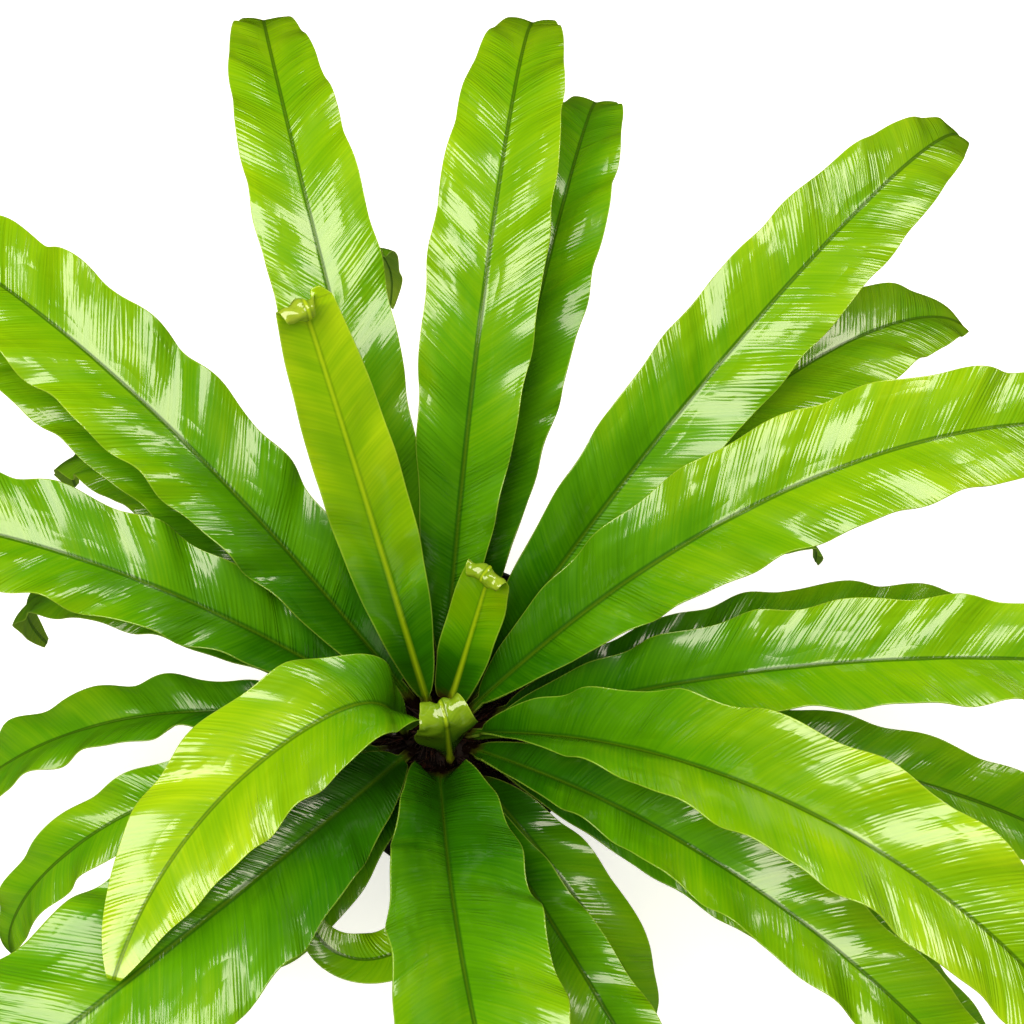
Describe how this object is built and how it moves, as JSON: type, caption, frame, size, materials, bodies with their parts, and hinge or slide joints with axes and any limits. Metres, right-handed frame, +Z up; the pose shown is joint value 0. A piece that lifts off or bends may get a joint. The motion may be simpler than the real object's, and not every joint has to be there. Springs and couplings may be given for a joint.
{
  "type": "potted bird's nest fern",
  "caption": "Hurricane bird's nest fern: a loose rosette of long, wavy, strap-shaped fronds that arch out of a scaly crown, in a plain round grower's pot.",
  "frame": {"origin": "centre of the pot's underside", "axes": "+Z up, -Y towards the front of the plant, +X to the right as seen from the front"},
  "size_m": [0.9068, 0.834, 0.424],
  "materials": {
    "pot_plastic": "moulded black polypropylene, satin",
    "potting_mix": "moist crumbly potting mix of bark and peat",
    "crown_scales": "dark brown papery scales on a fibrous crown",
    "frond_old": "mature leathery frond, dark green, glossy with fine veins",
    "frond_mid": "full-grown leathery frond, mid green, glossy with fine veins",
    "frond_young": "young frond, bright yellow-green, glossy with fine veins"
  },
  "bodies": {
    "root": {"pot": "pot_plastic", "soil": "potting_mix", "crown": "crown_scales", "frond_01": "frond_mid", "frond_02": "frond_mid", "frond_03": "frond_mid", "frond_04": "frond_old", "frond_05": "frond_old", "frond_06": "frond_old", "frond_07": "frond_young", "frond_08": "frond_old", "frond_09": "frond_mid", "frond_10": "frond_old", "frond_11": "frond_old", "frond_12": "frond_mid", "frond_13": "frond_old", "frond_14": "frond_old", "frond_15": "frond_old", "frond_16": "frond_mid", "frond_17": "frond_old", "frond_18": "frond_young", "frond_19": "frond_old", "frond_20": "frond_mid", "frond_21": "frond_old", "frond_22": "frond_young", "frond_23": "frond_old", "frond_24": "frond_mid", "frond_25": "frond_mid", "frond_26": "frond_old", "frond_27": "frond_mid", "frond_28": "frond_mid", "frond_29": "frond_old", "frond_30": "frond_young", "frond_31": "frond_young", "frond_32": "frond_young"}
  },
  "joints": []
}
